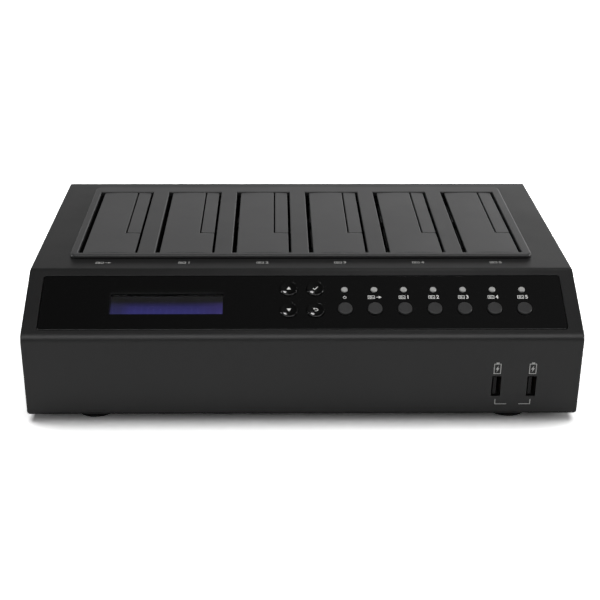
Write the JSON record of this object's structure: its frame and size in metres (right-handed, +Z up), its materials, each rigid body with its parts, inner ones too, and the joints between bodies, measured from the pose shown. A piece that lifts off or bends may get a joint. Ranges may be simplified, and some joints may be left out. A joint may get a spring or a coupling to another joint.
{
  "type": "hard drive duplicator dock",
  "caption": "Low charcoal dock with sprung twin-door drive bays across its flat top, a sloping gloss control panel with display and round buttons, and upright charging ports.",
  "frame": {"origin": "middle of the footprint at the level of the standing surface", "axes": "+Z up, the front face with the charging ports looks along -Y, +X to the right seen from the front"},
  "size_m": [0.31, 0.1924, 0.0775],
  "materials": {
    "housing": "fine satin moulded plastic, charcoal",
    "tray": "fine matt moulded plastic",
    "surround": "fine satin moulded plastic, charcoal",
    "door": "fine satin moulded plastic, charcoal",
    "sleeve": "matt moulded plastic, black",
    "fascia_gloss": "polished black",
    "clear_window": "clear, slightly tinted",
    "display_dark": "blue display in a black frame",
    "menu_cap": "polished black",
    "round_cap": "matt charcoal",
    "light_lens": "frosted clear plastic, unlit",
    "foot_rubber": "matt black rubber",
    "screw_steel": "dark zinc",
    "pin_steel": "bright steel",
    "spring_steel": "bright steel wire",
    "circuit_board": "green solder mask",
    "switch_black": "matt black",
    "chip_black": "matt black",
    "connector_black": "matt black",
    "port_metal": "nickel-plated sheet",
    "tongue_plastic": "matt black",
    "inlet_black": "matt black"
  },
  "bodies": {
    "housing": {"upper_housing": "housing", "base_tray": "tray", "feet": "foot_rubber", "case_screws": "screw_steel", "bay_surround": "surround", "bay_door_pins": "pin_steel", "small_door_pins": "pin_steel", "bay_door_springs": "spring_steel", "small_door_springs": "spring_steel", "fascia": "fascia_gloss", "display_window": "clear_window", "display_module": "display_dark", "status_lights": "light_lens", "button_board": "circuit_board", "push_switches": "switch_black", "main_board": "circuit_board", "charge_board": "circuit_board", "board_screws": "screw_steel", "board_chips": "chip_black", "drive_connectors": "connector_black", "charge_port_shells": "port_metal", "charge_port_tongues": "tongue_plastic", "power_inlet": "inlet_black", "host_port": "port_metal", "link_port": "connector_black", "drive_sleeve_1": "sleeve", "drive_sleeve_2": "sleeve", "drive_sleeve_3": "sleeve", "drive_sleeve_4": "sleeve", "drive_sleeve_5": "sleeve", "drive_sleeve_6": "sleeve"},
    "bay_door_1": {"bay_door_1": "door"},
    "small_door_1": {"small_door_1": "door"},
    "bay_door_2": {"bay_door_2": "door"},
    "small_door_2": {"small_door_2": "door"},
    "bay_door_3": {"bay_door_3": "door"},
    "small_door_3": {"small_door_3": "door"},
    "bay_door_4": {"bay_door_4": "door"},
    "small_door_4": {"small_door_4": "door"},
    "bay_door_5": {"bay_door_5": "door"},
    "small_door_5": {"small_door_5": "door"},
    "bay_door_6": {"bay_door_6": "door"},
    "small_door_6": {"small_door_6": "door"},
    "menu_button_up": {"menu_button_up": "menu_cap"},
    "menu_button_enter": {"menu_button_enter": "menu_cap"},
    "menu_button_down": {"menu_button_down": "menu_cap"},
    "menu_button_back": {"menu_button_back": "menu_cap"},
    "power_button": {"power_button": "round_cap"},
    "source_button": {"source_button": "round_cap"},
    "drive_button_1": {"drive_button_1": "round_cap"},
    "drive_button_2": {"drive_button_2": "round_cap"},
    "drive_button_3": {"drive_button_3": "round_cap"},
    "drive_button_4": {"drive_button_4": "round_cap"},
    "drive_button_5": {"drive_button_5": "round_cap"}
  },
  "joints": [
    {"name": "bay_door_1_hinge", "type": "hinge", "parent": "housing", "child": "bay_door_1", "pos_m": [-0.1277, 0.01799, 0.0729], "axis": [0, 1, 0], "range_deg": [0, 90], "stiffness_Nm_per_rad": 0.002, "springref_deg": -68.75},
    {"name": "small_door_1_hinge", "type": "hinge", "parent": "housing", "child": "small_door_1", "pos_m": [-0.0933, 0.03424, 0.07335], "axis": [0, -1, 0], "range_deg": [0, 90], "stiffness_Nm_per_rad": 0.0004, "springref_deg": -57.3},
    {"name": "bay_door_2_hinge", "type": "hinge", "parent": "housing", "child": "bay_door_2", "pos_m": [-0.0827, 0.01799, 0.0729], "axis": [0, 1, 0], "range_deg": [0, 90], "stiffness_Nm_per_rad": 0.002, "springref_deg": -68.75},
    {"name": "small_door_2_hinge", "type": "hinge", "parent": "housing", "child": "small_door_2", "pos_m": [-0.0483, 0.03424, 0.07335], "axis": [0, -1, 0], "range_deg": [0, 90], "stiffness_Nm_per_rad": 0.0004, "springref_deg": -57.3},
    {"name": "bay_door_3_hinge", "type": "hinge", "parent": "housing", "child": "bay_door_3", "pos_m": [-0.0377, 0.01799, 0.0729], "axis": [0, 1, 0], "range_deg": [0, 90], "stiffness_Nm_per_rad": 0.002, "springref_deg": -68.75},
    {"name": "small_door_3_hinge", "type": "hinge", "parent": "housing", "child": "small_door_3", "pos_m": [-0.0033, 0.03424, 0.07335], "axis": [0, -1, 0], "range_deg": [0, 90], "stiffness_Nm_per_rad": 0.0004, "springref_deg": -57.3},
    {"name": "bay_door_4_hinge", "type": "hinge", "parent": "housing", "child": "bay_door_4", "pos_m": [0.0073, 0.01799, 0.0729], "axis": [0, 1, 0], "range_deg": [0, 90], "stiffness_Nm_per_rad": 0.002, "springref_deg": -68.75},
    {"name": "small_door_4_hinge", "type": "hinge", "parent": "housing", "child": "small_door_4", "pos_m": [0.0417, 0.03424, 0.07335], "axis": [0, -1, 0], "range_deg": [0, 90], "stiffness_Nm_per_rad": 0.0004, "springref_deg": -57.3},
    {"name": "bay_door_5_hinge", "type": "hinge", "parent": "housing", "child": "bay_door_5", "pos_m": [0.0523, 0.01799, 0.0729], "axis": [0, 1, 0], "range_deg": [0, 90], "stiffness_Nm_per_rad": 0.002, "springref_deg": -68.75},
    {"name": "small_door_5_hinge", "type": "hinge", "parent": "housing", "child": "small_door_5", "pos_m": [0.0867, 0.03424, 0.07335], "axis": [0, -1, 0], "range_deg": [0, 90], "stiffness_Nm_per_rad": 0.0004, "springref_deg": -57.3},
    {"name": "bay_door_6_hinge", "type": "hinge", "parent": "housing", "child": "bay_door_6", "pos_m": [0.0973, 0.01799, 0.0729], "axis": [0, 1, 0], "range_deg": [0, 90], "stiffness_Nm_per_rad": 0.002, "springref_deg": -68.75},
    {"name": "small_door_6_hinge", "type": "hinge", "parent": "housing", "child": "small_door_6", "pos_m": [0.1317, 0.03424, 0.07335], "axis": [0, -1, 0], "range_deg": [0, 90], "stiffness_Nm_per_rad": 0.0004, "springref_deg": -57.3},
    {"name": "menu_button_up_press", "type": "slide", "parent": "housing", "child": "menu_button_up", "axis": [0, 0.4833, -0.8755], "range_m": [0, 0.0008], "stiffness_N_per_m": 400, "springref_m": -0.001},
    {"name": "menu_button_enter_press", "type": "slide", "parent": "housing", "child": "menu_button_enter", "axis": [0, 0.4833, -0.8755], "range_m": [0, 0.0008], "stiffness_N_per_m": 400, "springref_m": -0.001},
    {"name": "menu_button_down_press", "type": "slide", "parent": "housing", "child": "menu_button_down", "axis": [0, 0.4833, -0.8755], "range_m": [0, 0.0008], "stiffness_N_per_m": 400, "springref_m": -0.001},
    {"name": "menu_button_back_press", "type": "slide", "parent": "housing", "child": "menu_button_back", "axis": [0, 0.4833, -0.8755], "range_m": [0, 0.0008], "stiffness_N_per_m": 400, "springref_m": -0.001},
    {"name": "power_button_press", "type": "slide", "parent": "housing", "child": "power_button", "axis": [0, 0.4833, -0.8755], "range_m": [0, 0.0008], "stiffness_N_per_m": 400, "springref_m": -0.001},
    {"name": "source_button_press", "type": "slide", "parent": "housing", "child": "source_button", "axis": [0, 0.4833, -0.8755], "range_m": [0, 0.0008], "stiffness_N_per_m": 400, "springref_m": -0.001},
    {"name": "drive_button_1_press", "type": "slide", "parent": "housing", "child": "drive_button_1", "axis": [0, 0.4833, -0.8755], "range_m": [0, 0.0008], "stiffness_N_per_m": 400, "springref_m": -0.001},
    {"name": "drive_button_2_press", "type": "slide", "parent": "housing", "child": "drive_button_2", "axis": [0, 0.4833, -0.8755], "range_m": [0, 0.0008], "stiffness_N_per_m": 400, "springref_m": -0.001},
    {"name": "drive_button_3_press", "type": "slide", "parent": "housing", "child": "drive_button_3", "axis": [0, 0.4833, -0.8755], "range_m": [0, 0.0008], "stiffness_N_per_m": 400, "springref_m": -0.001},
    {"name": "drive_button_4_press", "type": "slide", "parent": "housing", "child": "drive_button_4", "axis": [0, 0.4833, -0.8755], "range_m": [0, 0.0008], "stiffness_N_per_m": 400, "springref_m": -0.001},
    {"name": "drive_button_5_press", "type": "slide", "parent": "housing", "child": "drive_button_5", "axis": [0, 0.4833, -0.8755], "range_m": [0, 0.0008], "stiffness_N_per_m": 400, "springref_m": -0.001}
  ]
}
